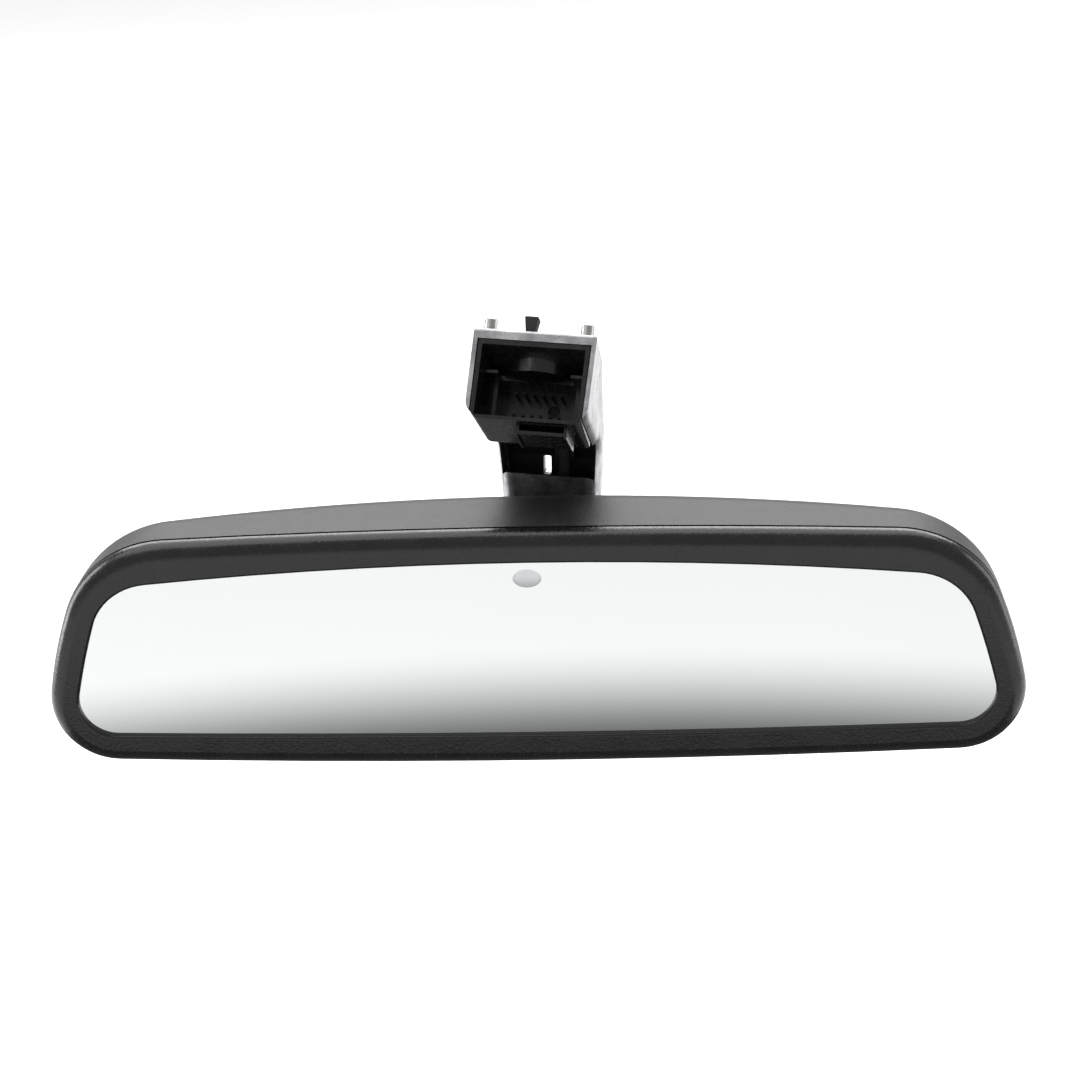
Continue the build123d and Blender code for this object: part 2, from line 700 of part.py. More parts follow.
RING_Z = 2.7
RING_THICK = 0.8
RING_GROOVE_R = 7.15
RING_INNER_R = 6.45
TAB_X = -1.7
TAB_Y = -10.4
TAB_LOW = 2.4
TAB_TOP = 3.8
TAB_DEEP = 3.0
TAB_HEIGHT = 4.3


def snap_ring():
    ring = Pos(0, 0, -RING_Z) * (
        Cylinder(RING_GROOVE_R - 0.05, RING_THICK) - Cylinder(RING_INNER_R, RING_THICK + 1)
    )
    return ring - Pos(0, 7, -RING_Z) * Box(4, 6, 3)


def locating_pins():
    """Shouldered pins, pressed in, with a chamfered tip and a centre hole."""
    pins = []
    for x in (-PIN_HALF_X, PIN_HALF_X):
        pin = Cylinder(PIN_R, PIN_HEIGHT, align=(Align.CENTER, Align.CENTER, Align.MIN))
        pin = chamfer(pin.edges().sort_by(Axis.Z)[-1], 0.4)
        pin -= Pos(0, 0, PIN_HEIGHT) * Cone(0.0, 0.8, 1.6, align=(Align.CENTER, Align.CENTER, Align.MAX))
        pin += Cylinder(PIN_SHANK_R, PIN_SHANK, align=(Align.CENTER, Align.CENTER, Align.MAX))
        pins.append(Pos(x, PIN_Y, 0) * pin)
    return group(pins)


def buffer_tab():
    foot = Pos(TAB_X, TAB_Y, -0.7) * Box(TAB_LOW, TAB_DEEP, 1.4)
    section = Polygon(
        (-TAB_LOW / 2, 0), (TAB_LOW / 2, 0), (TAB_TOP / 2, TAB_HEIGHT), (-TAB_TOP / 2, TAB_HEIGHT), align=None
    )
    upright = extrude(Plane.XZ * section, amount=TAB_DEEP / 2, both=True)
    upright = fillet(upright.edges().sort_by(Axis.Z)[-4:], 0.5)
    return foot + Pos(TAB_X, TAB_Y, 0) * upright


def ball_stud():
    ball = ball_at(BALL_R) & block(-10, 10, -6.6, 10, -10, 10)
    body = ball + rod(0, 0, STUD_R, 4, BOSS_FACE) + rod(0, 0, STUD_SEAT_R, BOSS_FACE, STUD_END)
    body -= rod(0, 0, STUD_BORE, -1, 20)
    body -= cone_rod(0, 0, 4.9, STUD_BORE, -6.6, 0)
    body -= cone_rod(0, 0, STUD_BORE, 3.3, 15.5, STUD_END)
    return body


# connector carrier, foot frame
CARRIER_HALF_X = 14.7
CARRIER_TOP = -TOP_PLATE - 0.15
CARRIER_BOTTOM = -24.4
WELL_MOUTH = (13.6, -4.3, -23.4)     # half width, top and bottom at the front
WELL_THROAT = (11.4, -9.4, -22.2)    # the same at the throat
WELL_FRONT = -12.8
WELL_THROAT_Y = -1.5
WELL_END_Y = 6.5
CARRIER_BACK_Y = 9.0


def rectangle_at(y, half_x, z0, z1):
    face = Pos(0, (z0 + z1) / 2) * Rectangle(2 * half_x, z0 - z1)
    return front_plane(y) * face


def connector_carrier():
    body = block(-CARRIER_HALF_X, CARRIER_HALF_X, WELL_FRONT, CARRIER_BACK_Y, CARRIER_BOTTOM, CARRIER_TOP)
    body = fillet(body.edges().filter_by(Axis.Y).sort_by(Axis.Z)[:2], 2.5)
    mouth = rectangle_at(WELL_FRONT - 0.01, *WELL_MOUTH)
    throat = rectangle_at(WELL_THROAT_Y, *WELL_THROAT)
    body -= loft([mouth.face(), throat.face()])
    half_x, z_top, z_bottom = WELL_THROAT
    body -= block(-half_x + 1.0, half_x - 1.0, WELL_THROAT_Y - 0.5, WELL_END_Y, z_bottom + 0.8, z_top - 1.2)
    # round cover below the button socket, with a domed underside
    cover = Pos(0, 0, CARRIER_TOP) * Cylinder(9.0, 6.6, align=(Align.CENTER, Align.CENTER, Align.MAX))
    dome = Pos(0, 0, CARRIER_TOP - 6.6 - 1.0 + 41.0) * Sphere(41.0)
    body += cover + (dome & Pos(0, 0, CARRIER_TOP - 6.6) * Cylinder(9.0, 4.0))
    body -= Cylinder(BUTTON_BOSS_R + 0.2, 8.1, align=(Align.CENTER, Align.CENTER, Align.MAX))
    # ledges left and right of the cover
    for side in (-1, 1):
        x0, x1 = sorted((side * 9.6, side * 13.4))
        body += block(x0, x1, -8.0, WELL_THROAT_Y + 1, -10.6, -9.8)
    # latch shroud below the socket
    shroud = block(SHROUD_X - 6.8, SHROUD_X + 6.8, -10.5, 1.0, SHROUD_Z, CARRIER_BOTTOM + 0.5)
    shroud -= block(SHROUD_X - 5.9, SHROUD_X + 5.9, -11.5, 0.0, SHROUD_Z + 0.9, CARRIER_BOTTOM - 0.1)
    for side in (-1, 1):
        x0, x1 = sorted((SHROUD_X + side * 6.1, SHROUD_X + side * 6.8))
        shroud += block(x0, x1, -10.5, 1.0, SHROUD_Z - 0.6, SHROUD_Z + 0.1)
    body += shroud
    body = body & FOOT_IN_ARM.inverse() * front_form(SIDE_WALL + 0.2)
    return body - Pos(HARNESS_X, WELL_END_Y, CONTACT_Z) * Rotation(-90, 0, 0) * Cylinder(CABLE_R + 0.1, 9)


SHROUD_X = 4.2
SHROUD_Z = -27.2
CONTACT_Z = -16.0
HARNESS_X = 3.6


def contact_pins():
    """Two rows of square contacts in the plug socket."""
    pins = []
    for row in (-1, 1):
        for i in range(6):
            x = -6.0 + 2.4 * i
            z = CONTACT_Z + 2.9 * row
            pins.append(block(x - 0.32, x + 0.32, 0.5, WELL_END_Y + 1.5, z - 0.32, z + 0.32))
    return group(pins)


def contact_holes():
    holes = None
    for row in (-1, 1):
        for i in range(6):
            x = -6.0 + 2.4 * i
            z = CONTACT_Z + 2.9 * row
            hole = block(x - 0.33, x + 0.33, WELL_END_Y - 1, WELL_END_Y + 1.51, z - 0.33, z + 0.33)
            holes = hole if holes is None else holes + hole
    return holes


def cable_guide():
    """A channel that lines the back and sides of the neck's hollow, arm frame."""
    outer = across([(20.4, 46.0), (23.9, 30.0), (24.25, 9.0), (19.4, 9.0), (19.0, 30.0), (15.6, 46.0)], 20)
    inner = across([(19.6, 48.0), (23.0, 30.0), (23.2, 8.0), (10.0, 8.0), (10.0, 48.0)], 20)
    body = (outer & front_form(SIDE_WALL + 0.15)) - (inner & front_form(SIDE_WALL + 1.2))
    for side in (-1, 1):
        x0, x1 = sorted((HARNESS_X + side * (CABLE_R + 0.1), HARNESS_X + side * (CABLE_R + 1.1)))
        body += block(x0, x1, 20.2, 23.4, 31.0, 33.5)
    return body - slit(18, 30)


def arm_harness():
    start = foot_point(WELL_END_Y + 0.6, CONTACT_Z)
    points = [
        (HARNESS_X, *start),
        (HARNESS_X, 18.5, 40.6),
        (HARNESS_X, 20.9, 27.0),
        (0, 21.1, 9.5),
        (0, 21.1, 0),
        (0, LEAD_GAP, 0),
    ]
    return tube(points, [16, 30, 30, 4.9], CABLE_R)


# ---- write every node --------------------------------------------------------------------------------
def main():
    os.makedirs("parts", exist_ok=True)
    head = {
        "front_bezel": front_bezel(),
        "rear_housing": rear_housing(),
        "front_glass": front_glass(),
        "rear_glass": rear_glass(),
        "cell_seal": cell_seal(),
        "bus_clip_upper": bus_clip(1),
        "bus_clip_lower": bus_clip(-1),
        "foam_pad": foam_pad(),
        "carrier_plate": carrier_plate(),
        "circuit_board": circuit_board(),
        "control_chip": control_chip(),
        "capacitors": capacitors(),
        "resistors": resistors(),
        "glare_sensor": glare_sensor(),
        "glare_light_pipe": glare_light_pipe(),
        "ambient_sensor": ambient_sensor(),
        "ambient_window": ambient_window(),
        "board_connector": board_connector(),
        "head_plug": head_plug(),
        "head_harness": head_harness(),
        "socket_base": socket_base(),
        "pressure_ring": pressure_ring(),
        "wave_spring": wave_spring(),
        "socket_cap": socket_cap(),
        "front_cup": front_cup(),
        "rear_cup": rear_cup(),
        "socket_screws": socket_screws(),
        "base_screws": base_screws(),
        "board_screws": board_screws(),
        "housing_screws": housing_screws(),
    }
    for name, shape in head.items():
        save(name, shape, HEAD_FRAME)
    arm = {
        "arm_casting": arm_casting(),
        "ball_stud": ball_stud(),
        "cable_guide": cable_guide(),
        "arm_harness": arm_harness(),
    }
    for name, shape in arm.items():
        save(name, shape, ARM_FRAME)
    foot = {
        "connector_carrier": connector_carrier() - contact_holes(),
        "contact_pins": contact_pins(),
        "snap_ring": snap_ring(),
        "locating_pins": locating_pins(),
        "buffer_tab": buffer_tab(),
    }
    for name, shape in foot.items():
        save(name, shape, FOOT_FRAME)


main()
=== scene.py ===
import json
from math import cos, radians, sin

import bmesh
import bpy
from mathutils import Matrix, Vector


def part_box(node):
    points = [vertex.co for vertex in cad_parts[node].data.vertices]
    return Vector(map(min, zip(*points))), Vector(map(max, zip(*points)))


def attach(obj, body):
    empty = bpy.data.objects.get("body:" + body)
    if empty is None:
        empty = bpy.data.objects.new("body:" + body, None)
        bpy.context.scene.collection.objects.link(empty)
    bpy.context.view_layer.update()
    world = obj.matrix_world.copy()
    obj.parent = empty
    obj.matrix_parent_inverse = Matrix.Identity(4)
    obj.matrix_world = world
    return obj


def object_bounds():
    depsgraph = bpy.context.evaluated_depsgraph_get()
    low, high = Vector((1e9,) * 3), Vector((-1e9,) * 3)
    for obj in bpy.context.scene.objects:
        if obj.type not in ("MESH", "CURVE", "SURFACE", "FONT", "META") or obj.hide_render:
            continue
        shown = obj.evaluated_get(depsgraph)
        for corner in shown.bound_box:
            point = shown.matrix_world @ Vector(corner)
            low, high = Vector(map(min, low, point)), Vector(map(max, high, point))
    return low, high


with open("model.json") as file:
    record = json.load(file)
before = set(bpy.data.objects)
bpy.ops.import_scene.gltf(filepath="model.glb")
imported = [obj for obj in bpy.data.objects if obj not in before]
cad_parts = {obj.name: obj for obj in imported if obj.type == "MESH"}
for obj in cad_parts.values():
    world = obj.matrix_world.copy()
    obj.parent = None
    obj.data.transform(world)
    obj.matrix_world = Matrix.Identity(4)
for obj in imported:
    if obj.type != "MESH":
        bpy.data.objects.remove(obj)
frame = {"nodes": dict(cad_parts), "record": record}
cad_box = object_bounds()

# Interior rearview mirror: black plastic head with a dimming glass, on a bare die-cast arm.
# Metres, in the frame of the CAD: +X to the driver's right, +Y towards the windshield, +Z up.

# ---- places taken from the frame -------------------------------------------------------------
BEZEL_LOW, BEZEL_HIGH = (Vector(corner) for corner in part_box("front_bezel"))
TOP_ABOVE_GLASS_CENTRE = 0.0327     # from the middle of the glass up to the bezel's top edge
GLASS_CENTRE = Vector((
    (BEZEL_LOW.x + BEZEL_HIGH.x) / 2,
    BEZEL_LOW.y,
    BEZEL_HIGH.z - TOP_ABOVE_GLASS_CENTRE,
))
PIPE_LOW, PIPE_HIGH = (Vector(corner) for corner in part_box("glare_light_pipe"))
SENSOR_LIFT = 0.0006                # the sensor's window is drawn this much above its pipe
SENSOR = (PIPE_LOW + PIPE_HIGH) / 2 + Vector((0, 0, SENSOR_LIFT))
SENSOR_RX = 0.00375                 # half the window's width and height
SENSOR_RZ = 0.0026


# ---- material helpers -----------------------------------------------------------------------
class Shader:
    """A node material with object coordinates, made step by step."""

    def __init__(self, name):
        self.material = bpy.data.materials.new(name)
        self.material.use_nodes = True
        self.nodes = self.material.node_tree.nodes
        self.links = self.material.node_tree.links
        self.bsdf = next(n for n in self.nodes if n.type == "BSDF_PRINCIPLED")
        self.place = self.nodes.new("ShaderNodeTexCoord").outputs["Object"]

    def link(self, source, target):
        self.links.new(source, target)

    def stretched(self, scale):
        """Object coordinates scaled by a different amount along each axis."""
        mapping = self.nodes.new("ShaderNodeMapping")
        mapping.inputs["Scale"].default_value = scale
        self.link(self.place, mapping.inputs["Vector"])
        return mapping.outputs["Vector"]

    def noise(self, scale, detail=3.0, roughness=0.5, place=None):
        """Soft noise from 0 to 1; scale is in waves per metre."""
        node = self.nodes.new("ShaderNodeTexNoise")
        node.inputs["Scale"].default_value = scale
        node.inputs["Detail"].default_value = detail
        node.inputs["Roughness"].default_value = roughness
        self.link(place or self.place, node.inputs["Vector"])
        return node.outputs["Fac"]

    def pits(self, scale):
        """Distance to the nearest of many scattered points, for cast and moulded grain."""
        node = self.nodes.new("ShaderNodeTexVoronoi")
        node.inputs["Scale"].default_value = scale
        self.link(self.place, node.inputs["Vector"])
        return node.outputs["Distance"]

    def span(self, value, low, high, out_low, out_high, smooth=False):
        """Maps a value from one range to another, held at its ends."""
        node = self.nodes.new("ShaderNodeMapRange")
        if smooth:
            node.interpolation_type = "SMOOTHSTEP"
        for socket, number in zip(node.inputs[1:5], (low, high, out_low, out_high)):
            socket.default_value = number
        self.link(value, node.inputs[0])
        return node.outputs[0]

    def maths(self, operation, a, b=0.0):
        """One Math node; each of a and b is a number or another socket."""
        node = self.nodes.new("ShaderNodeMath")
        node.operation = operation
        for socket, value in zip(node.inputs, (a, b)):
            if isinstance(value, (int, float)):
                socket.default_value = value
            else:
                self.link(value, socket)
        return node.outputs[0]

    def blend(self, factor, low, high):
        """Colour between low and high; each is a colour or another socket."""
        node = self.nodes.new("ShaderNodeMix")
        node.data_type = "RGBA"
        self.link(factor, node.inputs["Factor"])
        for socket, value in zip((node.inputs[6], node.inputs[7]), (low, high)):
            if isinstance(value, tuple):
                socket.default_value = (*value, 1)
            else:
                self.link(value, socket)
        return node.outputs[2]

    def bump(self, height, distance, before=None):
        """Relief of the given depth in metres, on top of an earlier bump where there is one."""
        node = self.nodes.new("ShaderNodeBump")
        node.inputs["Distance"].default_value = distance
        self.link(height, node.inputs["Height"])
        if before is not None:
            self.link(before, node.inputs["Normal"])
        return node.outputs["Normal"]

    def set(self, **values):
        """Sets or links inputs of the shader, named with _ for each space."""
        for name, value in values.items():
            socket = self.bsdf.inputs[name.replace("_", " ")]
            if isinstance(value, bpy.types.NodeSocket):
                self.link(value, socket)
            elif isinstance(value, tuple):
                socket.default_value = (*value, 1)
            else:
                socket.default_value = value


def moulded(name, low, high, rough, grain, depth, mottle=90.0, speck=None, relief=4.0):
    """Moulded plastic: mottled colour, spark-eroded grain and uneven gloss.

    speck is the tone of the grain's crests; a lower relief keeps fine detail out of the bump.
    """
    cell_share = 0.6                # of the relief, beside the noise
    cell_scale = grain * 0.55
    gloss_swing = 0.1               # of the roughness, from grain to grain
    s = Shader(name)
    patches = s.noise(mottle, detail=4.0, roughness=0.6)
    fine = s.noise(grain, detail=4.0, roughness=0.7)
    cells = s.pits(cell_scale)
    colour = s.blend(s.span(patches, 0.35, 0.65, 0, 1), low, high)
    if speck:
        colour = s.blend(s.span(fine, 0.56, 0.70, 0, 1), colour, speck)
    even_gloss = s.span(patches, 0.3, 0.7, *rough)
    gloss = s.maths("ADD", even_gloss, s.span(fine, 0.3, 0.7, -gloss_swing, gloss_swing))
    height = s.maths("ADD", s.noise(grain, detail=relief), s.maths("MULTIPLY", cells, cell_share))
    s.set(Base_Color=colour, Roughness=gloss, Normal=s.bump(height, depth))
    return s.material


def metal(name, low, high, rough, grain, depth, streak=None):
    """Bare metal: patchy tone, fine grain, and streaks along one axis where it was brushed."""
    s = Shader(name)
    patches = s.noise(140.0, detail=4.0, roughness=0.6)
    place = s.stretched(streak) if streak else None
    fine = s.noise(grain, detail=4.0, roughness=0.65, place=place)
    colour = s.blend(s.span(patches, 0.3, 0.7, 0, 1), low, high)
    gloss = s.span(fine, 0.25, 0.75, *rough)
    s.set(Base_Color=colour, Metallic=1.0, Roughness=gloss, Normal=s.bump(fine, depth))
    return s.material


def cast_metal(name):
    """Vibratory-finished zinc casting: soft mottling, small pits and a slightly orange-peel skin."""
    dull, bright = (0.24, 0.24, 0.25), (0.47, 0.47, 0.48)
    speckle_tone, pit_tone = (0.20, 0.20, 0.21), (0.16, 0.16, 0.17)
    skin_depth, pit_depth, speckle_depth = 0.00006, 0.00005, 0.00002
    s = Shader(name)
    patches = s.noise(160.0, detail=5.0, roughness=0.65)
    skin = s.noise(900.0, detail=4.0, roughness=0.6)
    speckle = s.noise(3200.0, detail=2.0, roughness=0.6)
    pits = s.span(s.pits(1400.0), 0.0, 0.16, 0, 1)
    tone = s.blend(s.span(patches, 0.36, 0.62, 0, 1), dull, bright)
    tone = s.blend(s.span(speckle, 0.55, 0.72, 0, 1), tone, speckle_tone)
    tone = s.blend(pits, pit_tone, tone)
    gloss = s.maths("ADD", s.span(skin, 0.3, 0.7, 0.26, 0.40), s.span(speckle, 0.4, 0.7, 0, 0.12))
    normal = s.bump(skin, skin_depth)
    normal = s.bump(pits, pit_depth, before=normal)
    normal = s.bump(speckle, speckle_depth, before=normal)
    s.set(Base_Color=tone, Metallic=1.0, Roughness=gloss, Normal=normal)
    return s.material


def clear(name, low, high, rough, ior):
    """A clear moulding with a faint waviness."""
    wave_depth = 0.000002
    s = Shader(name)
    wave = s.noise(28.0, detail=2.0, roughness=0.4)
    s.set(Base_Color=s.blend(wave, low, high), Roughness=rough, Normal=s.bump(wave, wave_depth))
    s.set(Transmission_Weight=1.0, IOR=ior)
    return s.material


def silvered(name, low, high):
    """Slightly green mirror glass. Over the sensor the coating is thinned to a window, given painted shade of
    a dish: darker towards its foot, with a painted shadow along its lower edge, and faint ribs near its top.
    """
    # the window's tones below are painted shade and a painted shadow, not its own colour
    bowl_shaded_foot, bowl_lit_top = (0.44, 0.46, 0.46), (0.66, 0.68, 0.69)
    rim_shadow_tone, rib_tone = (0.20, 0.22, 0.22), (0.50, 0.50, 0.56)
    rib_turn = 26.0                 # radians of the ribs' wave per half width of the window
    mirror_rough, window_rough = 0.01, 0.25
    s = Shader(name)
    tone = s.blend(s.noise(18.0, detail=3.0), low, high)
    split = s.nodes.new("ShaderNodeSeparateXYZ")
    s.link(s.place, split.inputs[0])
    # across and up run from -1 to 1 over the window, and reach is 1 on its edge
    across = s.maths("DIVIDE", s.maths("SUBTRACT", split.outputs[0], SENSOR.x), SENSOR_RX)
    up = s.maths("DIVIDE", s.maths("SUBTRACT", split.outputs[2], SENSOR.z), SENSOR_RZ)
    reach = s.maths("ADD", s.maths("POWER", across, 2.0), s.maths("POWER", up, 2.0))
    window = s.span(reach, 0.94, 1.06, 1, 0)
    # painted shade: the window darkens from its top towards its foot
    rise = s.span(up, -1.0, 0.35, 0, 1, True)
    # painted shadow: a dark crescent along the window's lower edge
    rim_shadow = s.maths("MULTIPLY", s.span(reach, 0.55, 1.0, 0, 0.35, True), s.span(up, -0.2, 0.6, 1, 0))
    bowl_painted_shade = s.blend(rise, bowl_shaded_foot, bowl_lit_top)
    bowl_painted_shade = s.blend(rim_shadow, bowl_painted_shade, rim_shadow_tone)
    ribs = s.maths("SINE", s.maths("MULTIPLY", across, rib_turn))
    crest = s.maths("MULTIPLY", s.span(ribs, 0.2, 1.0, 0, 0.3), s.span(up, 0.1, 0.5, 0, 1))
    crest = s.maths("MULTIPLY", crest, s.span(s.maths("ABSOLUTE", across), 0.25, 0.45, 1, 0))
    bowl_painted_shade = s.blend(crest, bowl_painted_shade, rib_tone)
    s.set(
        Base_Color=s.blend(window, tone, bowl_painted_shade),
        Metallic=1.0,
        Roughness=s.span(window, 0, 1, mirror_rough, window_rough),
    )
    return s.material


def laminate(name):
    """Circuit board: green mask over a faint weave, with copper traces just showing."""
    mask_dark, mask_light = (0.010, 0.055, 0.025), (0.018, 0.085, 0.040)
    trace_tone, trace_depth = (0.05, 0.16, 0.07), 0.00002
    s = Shader(name)
    weave = s.pits(1500.0)
    traces = s.noise(700.0, detail=2.0, roughness=0.4, place=s.stretched((1, 1, 0.12)))
    mask = s.blend(s.span(weave, 0, 0.5, 0, 1), mask_dark, mask_light)
    colour = s.blend(s.span(traces, 0.56, 0.60, 0, 1), mask, trace_tone)
    gloss = s.span(weave, 0, 0.6, 0.22, 0.35)
    s.set(Base_Color=colour, Roughness=gloss, Normal=s.bump(traces, trace_depth))
    return s.material


def soft(name, low, high, grain, depth):
    """Rubber, foam and lead sheath: matt, open-grained."""
    s = Shader(name)
    cells = s.pits(grain)
    patches = s.noise(120.0)
    colour = s.blend(s.span(patches, 0.3, 0.7, 0, 1), low, high)
    s.set(Base_Color=colour, Roughness=s.span(cells, 0, 0.6, 0.6, 0.8), Normal=s.bump(cells, depth))
    return s.material


# Each call gives the material's name, its darker and lighter tone, the range of its roughness, its
# grain per metre and the depth of its relief, and a streaked metal how its grain is stretched.
MATERIALS = {
    "bezel_plastic": moulded(
        "bezel_grain", (0.004, 0.004, 0.005), (0.007, 0.007, 0.008), (0.20, 0.28), 1700.0, 0.000028,
        speck=(0.022, 0.021, 0.021), relief=1.0,
    ),
    "housing_plastic": moulded(
        "housing_grain", (0.012, 0.012, 0.013), (0.018, 0.018, 0.019), (0.38, 0.46), 2500.0, 0.00004,
        speck=(0.040, 0.040, 0.040),
    ),
    "front_glass": silvered("pane_silvered", (0.710, 0.728, 0.719), (0.728, 0.746, 0.737)),
    "rear_mirror": metal(
        "pane_back_coat", (0.30, 0.31, 0.31), (0.42, 0.43, 0.43), (0.1, 0.2), 300.0, 0.000004,
    ),
    "seal_resin": moulded("seal_resin", (0.16, 0.16, 0.15), (0.24, 0.24, 0.22), (0.3, 0.4), 1200.0, 0.00002),
    "clip_metal": metal(
        "clip_strip", (0.62, 0.62, 0.63), (0.78, 0.78, 0.79), (0.12, 0.22), 1500.0, 0.000005,
        streak=(0.05, 1, 1),
    ),
    "foam": soft("foam_tape", (0.02, 0.02, 0.02), (0.045, 0.045, 0.045), 2200.0, 0.0001),
    "inner_plastic": moulded(
        "inner_moulding", (0.03, 0.03, 0.032), (0.05, 0.05, 0.052), (0.4, 0.52), 1200.0, 0.00003,
    ),
    "board_laminate": laminate("board_mask"),
    "chip_plastic": moulded(
        "chip_resin", (0.014, 0.014, 0.015), (0.022, 0.022, 0.024), (0.45, 0.55), 3000.0, 0.00002,
    ),
    "can_aluminium": metal(
        "can_drawn", (0.66, 0.66, 0.68), (0.78, 0.78, 0.80), (0.22, 0.34), 1800.0, 0.000006,
        streak=(1, 0.04, 1),
    ),
    "clear_plastic": clear("lens_clear", (0.84, 0.88, 0.91), (0.86, 0.90, 0.93), rough=0.04, ior=1.49),
    "connector_plastic": moulded(
        "connector_nylon", (0.62, 0.59, 0.50), (0.72, 0.69, 0.60), (0.4, 0.5), 1000.0, 0.00003,
    ),
    "lead_sheath": soft("lead_sheath", (0.012, 0.012, 0.013), (0.024, 0.024, 0.025), 1600.0, 0.00004),
    "spring_steel": metal(
        "spring_strip", (0.30, 0.30, 0.31), (0.44, 0.44, 0.45), (0.22, 0.36), 1600.0, 0.000008,
        streak=(0.1, 1, 1),
    ),
    "cap_steel": metal(
        "cap_zinc_plate", (0.48, 0.48, 0.49), (0.62, 0.61, 0.58), (0.24, 0.38), 1200.0, 0.00001,
    ),
    "cup_plastic": moulded("cup_acetal", (0.70, 0.69, 0.65), (0.78, 0.77, 0.73), (0.2, 0.28), 900.0, 0.00001),
    "screw_steel": metal(
        "screw_zinc_plate", (0.44, 0.44, 0.46), (0.60, 0.60, 0.60), (0.2, 0.32), 2400.0, 0.000008,
    ),
    "cast_metal": cast_metal("cast_zinc"),
    "stud_steel": metal(
        "stud_ground", (0.40, 0.40, 0.41), (0.54, 0.54, 0.55), (0.16, 0.28), 1800.0, 0.00001,
        streak=(1, 0.06, 1),
    ),
    "guide_plastic": moulded(
        "guide_moulding", (0.004, 0.004, 0.005), (0.008, 0.008, 0.009), (0.4, 0.5), 1500.0, 0.00003,
    ),
    "insert_plastic": moulded(
        "insert_gloss", (0.003, 0.003, 0.004), (0.007, 0.007, 0.008), (0.20, 0.28), 700.0, 0.00001,
        mottle=110.0,
    ),
    # tin contacts drawn nearly black: painted shade of the deep well they sit in
    "contact_brass": metal(
        "contact_in_painted_shade", (0.020, 0.018, 0.015), (0.035, 0.032, 0.026), (0.35, 0.45), 2600.0, 0.000006,
    ),
    "pin_steel": metal("pin_turned", (0.30, 0.30, 0.29), (0.42, 0.42, 0.41), (0.26, 0.38), 2200.0, 0.00001),
    "tab_rubber": soft("tab_rubber", (0.010, 0.010, 0.011), (0.020, 0.020, 0.021), 2600.0, 0.00003),
}
SLOT_OF = {part["node"]: part["material_slot"] for part in frame["record"]["subparts"]}
for name, node in frame["nodes"].items():
    node.data.materials.clear()
    node.data.materials.append(MATERIALS[SLOT_OF[name]])


# ---- small pieces on the arm ---------------------------------------------------------------
def mount(name):
    """A mount's centre and outward direction."""
    found = next(m for m in frame["record"]["mounts"] if m["name"] == name)
    return Vector(found["pos_m"]), Vector(found["axis"]).normalized()


def across_arm(normal):
    """The direction from the left locating pin to the right one, in the mounting face."""
    points = [v.co for v in frame["nodes"]["locating_pins"].data.vertices]
    middle = sum(p.x for p in points) / len(points)
    sides = [[p for p in points if p.x < middle], [p for p in points if p.x >= middle]]
    left, right = (sum(side, Vector()) / len(side) for side in sides)
    return (right - left - normal * (right - left).dot(normal)).normalized()


def witness_mark(name, centre, normal, radius, height, rings=6, turns=28):
    """A low rounded ejector mark: rings of a dome, closed underneath."""
    side = normal.orthogonal().normalized()
    other = normal.cross(side)
    mesh = bmesh.new()
    loops = []
    for ring in range(rings):
        tilt = radians(90.0 * ring / rings)
        reach, rise = radius * cos(tilt), height * sin(tilt)
        angles = [radians(360.0 * step / turns) for step in range(turns)]
        spokes = [side * cos(angle) + other * sin(angle) for angle in angles]
        loops.append([mesh.verts.new(centre + spoke * reach + normal * rise) for spoke in spokes])
    for lower, upper in zip(loops, loops[1:]):
        for i in range(turns):
            j = (i + 1) % turns
            mesh.faces.new((lower[i], lower[j], upper[j], upper[i]))
    mesh.faces.new(loops[-1])
    mesh.faces.new(loops[0][::-1])
    data = bpy.data.meshes.new(name)
    mesh.to_mesh(data)
    mesh.free()
    for face in data.polygons:
        face.use_smooth = True
    piece = bpy.data.objects.new(name, data)
    bpy.context.collection.objects.link(piece)
    return piece


MARK_RIGHT = 0.0040                 # from the middle between the pins
MARK_FORWARD = 0.0012               # towards the front edge of the face
MARK_RADIUS = 0.0016
MARK_HEIGHT = 0.0009
pins_middle, up_face = mount("locating_studs")
arm_right = across_arm(up_face)
arm_back = up_face.cross(arm_right)
mark_foot = pins_middle + arm_right * MARK_RIGHT - arm_back * MARK_FORWARD
mark = witness_mark("ejector_mark", mark_foot, up_face, MARK_RADIUS, MARK_HEIGHT)
mark.data.materials.append(MATERIALS["cast_metal"])
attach(mark, "arm")


# ---- studio ---------------------------------------------------------------------------------
def card(name, centre, size, material):
    """A level stage card."""
    half_x, half_y = size[0] / 2, size[1] / 2
    mesh = bpy.data.meshes.new(name)
    corners = [(-half_x, -half_y, 0), (half_x, -half_y, 0), (half_x, half_y, 0), (-half_x, half_y, 0)]
    mesh.from_pydata(corners, [], [(0, 1, 2, 3)])
    mesh.materials.append(material)
    obj = bpy.data.objects.new(name, mesh)
    obj.location = centre
    bpy.context.collection.objects.link(obj)
    return obj


def area_light(name, centre, target, size, power):
    """A softbox at centre that faces target."""
    data = bpy.data.lights.new(name, "AREA")
    data.shape = "RECTANGLE"
    data.size, data.size_y = size
    data.energy = power
    light = bpy.data.objects.new(name, data)
    facing = (Vector(centre) - Vector(target)).to_track_quat("Z", "Y").to_matrix().to_4x4()
    light.matrix_world = Matrix.Translation(centre) @ facing
    bpy.context.collection.objects.link(light)


def paper(name, tone, glow):
    """Faintly fibrous paper, lit a little from behind."""
    fibre_shade = 0.985             # of the tone, where the fibres are densest
    s = Shader(name)
    fibre = s.noise(40.0, detail=4.0, roughness=0.6)
    low = tuple(c * fibre_shade for c in tone)
    s.set(Base_Color=s.blend(fibre, low, tone), Roughness=0.9)
    s.set(Emission_Color=(1.0, 1.0, 1.0), Emission_Strength=glow)
    return s.material


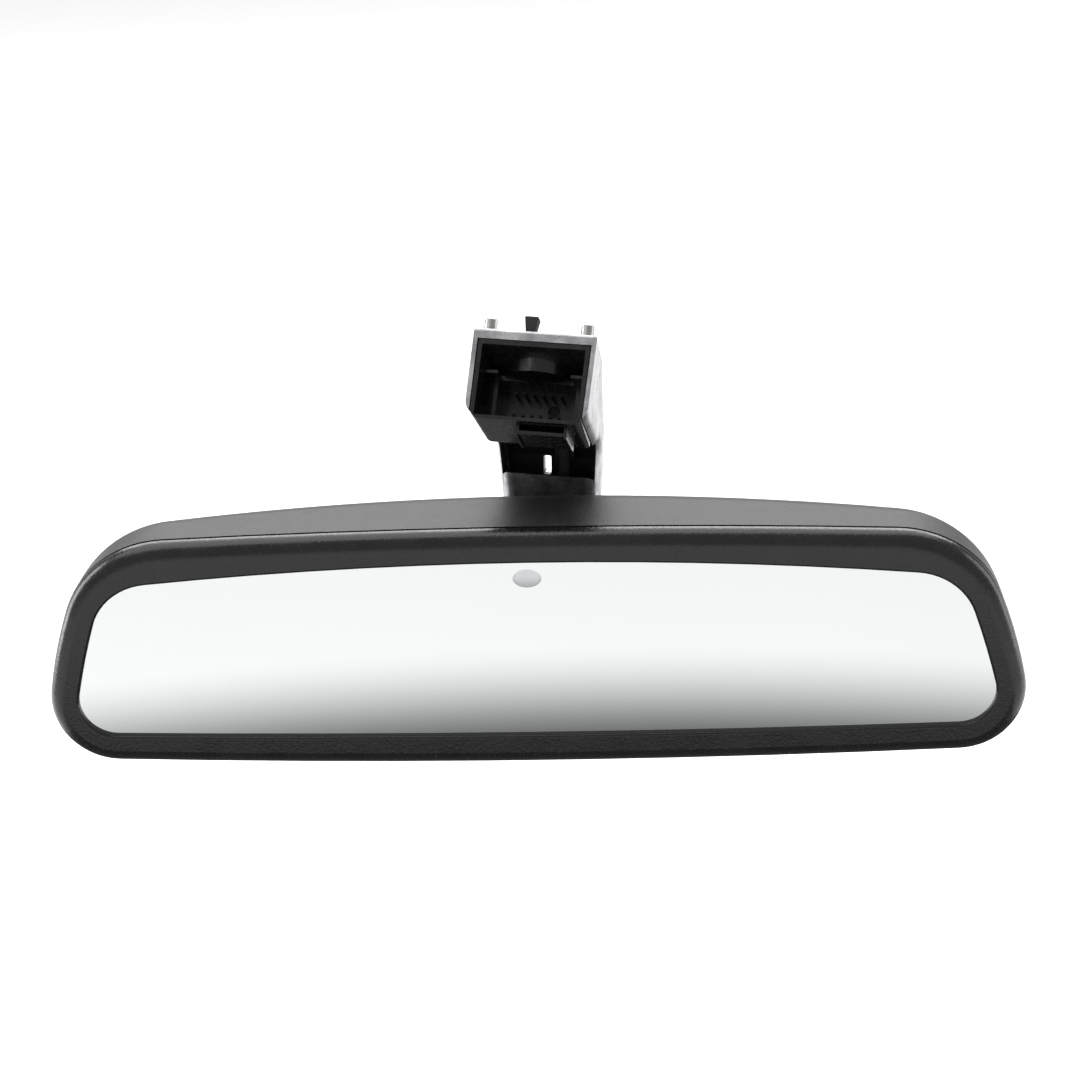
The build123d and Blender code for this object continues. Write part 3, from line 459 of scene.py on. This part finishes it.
def shade_cloth(name):
    """Black net, dense under the head and thinning out in an arched, soft edge in front of it."""
    s = Shader(name)
    split = s.nodes.new("ShaderNodeSeparateXYZ")
    s.link(s.place, split.inputs[0])
    bow = s.maths("MULTIPLY", s.maths("POWER", split.outputs[0], 2.0), SHADE_BOW)
    forward = s.maths("SUBTRACT", bow, split.outputs[1])
    cover = s.span(forward, SHADE_DENSE, SHADE_END, SHADE_COVER, 0, True)
    weave = s.blend(s.noise(60.0, detail=2.0), (0.02, 0.022, 0.02), (0.03, 0.032, 0.03))
    s.set(Base_Color=weave, Roughness=0.9, Alpha=cover, Specular_IOR_Level=0.0)
    return s.material


FLOOR_DROP = 0.40                   # below the lowest point of the mirror
FLOOR_SIZE = (14, 14)
FLOOR_TONE = (0.92, 0.92, 0.92)
FLOOR_GLOW = 0.32
SHADE_DROP = 0.24                   # the net hangs this far below the middle of the glass
SHADE_SIZE = (0.62, 1.0)
SHADE_BOW = 0.55                    # its front edge draws back by this much times X squared
SHADE_DENSE = 0.377                 # it starts to thin out this far in front of the glass
SHADE_END = 0.471                   # and is gone here
SHADE_COVER = 0.92

floor_z = cad_box[0].z - FLOOR_DROP
card("floor", (0, 0, floor_z), FLOOR_SIZE, paper("floor_paper", FLOOR_TONE, FLOOR_GLOW))

# The net gives the glass a soft grey gradient: only reflections see it.
shade_centre = GLASS_CENTRE - Vector((0, 0, SHADE_DROP))
shade = card("shade_net", shade_centre, SHADE_SIZE, shade_cloth("shade_cloth"))
shade.visible_camera = False
shade.visible_diffuse = False
shade.visible_shadow = False
shade.visible_transmission = False

WORLD_STRENGTH = 0.5
world = bpy.data.worlds.new("studio")
world.use_nodes = True
background = world.node_tree.nodes["Background"]
background.inputs["Color"].default_value = (1, 1, 1, 1)
background.inputs["Strength"].default_value = WORLD_STRENGTH
bpy.context.scene.world = world

# name, centre, target, width and height in metres, watts
SOFTBOXES = (
    ("back_softbox", (0.0, 1.3, 0.85), (0.0, 0.0, -0.03), (2.2, 0.7), 26.0),
    ("left_softbox", (-1.2, 0.25, 0.1), (-0.1, 0.0, -0.06), (0.5, 1.0), 9.0),
    ("right_softbox", (1.2, 0.25, 0.1), (0.1, 0.0, -0.06), (0.5, 1.0), 4.0),
    ("top_softbox", (-0.2, 0.35, 1.25), (0.0, 0.0, -0.05), (2.4, 1.3), 20.0),
)
for softbox in SOFTBOXES:
    area_light(*softbox)

# ---- camera ---------------------------------------------------------------------------------
CAMERA_TURN = 4.02                  # degrees about Z from straight in front
CAMERA_RAISE = 27.0                 # degrees of elevation, seen from the middle of the glass
CAMERA_TILT = 25.2                  # degrees that it looks down
CAMERA_ROLL = 2.69
CAMERA_DISTANCE = 0.9
SENSOR_WIDTH = 36.0                 # millimetres, like the focal length
FOCAL_LENGTH = 114.5
SHIFT_X = 0.0127
CLIP_START = 0.01

camera_data = bpy.data.cameras.new("camera")
camera_data.sensor_width = SENSOR_WIDTH
camera_data.lens = FOCAL_LENGTH
camera_data.shift_x = SHIFT_X
camera_data.clip_start = CLIP_START
camera = bpy.data.objects.new("camera", camera_data)
turn = Matrix.Rotation(radians(CAMERA_TURN), 4, "Z")
back = Vector((0, -cos(radians(CAMERA_RAISE)), sin(radians(CAMERA_RAISE)))) * CAMERA_DISTANCE
camera.matrix_world = (
    Matrix.Translation(GLASS_CENTRE + turn @ back)
    @ turn
    @ Matrix.Rotation(radians(90 - CAMERA_TILT), 4, "X")
    @ Matrix.Rotation(radians(-CAMERA_ROLL), 4, "Z")
)
bpy.context.collection.objects.link(camera)
bpy.context.scene.camera = camera
bpy.context.scene.view_settings.view_transform = "Standard"
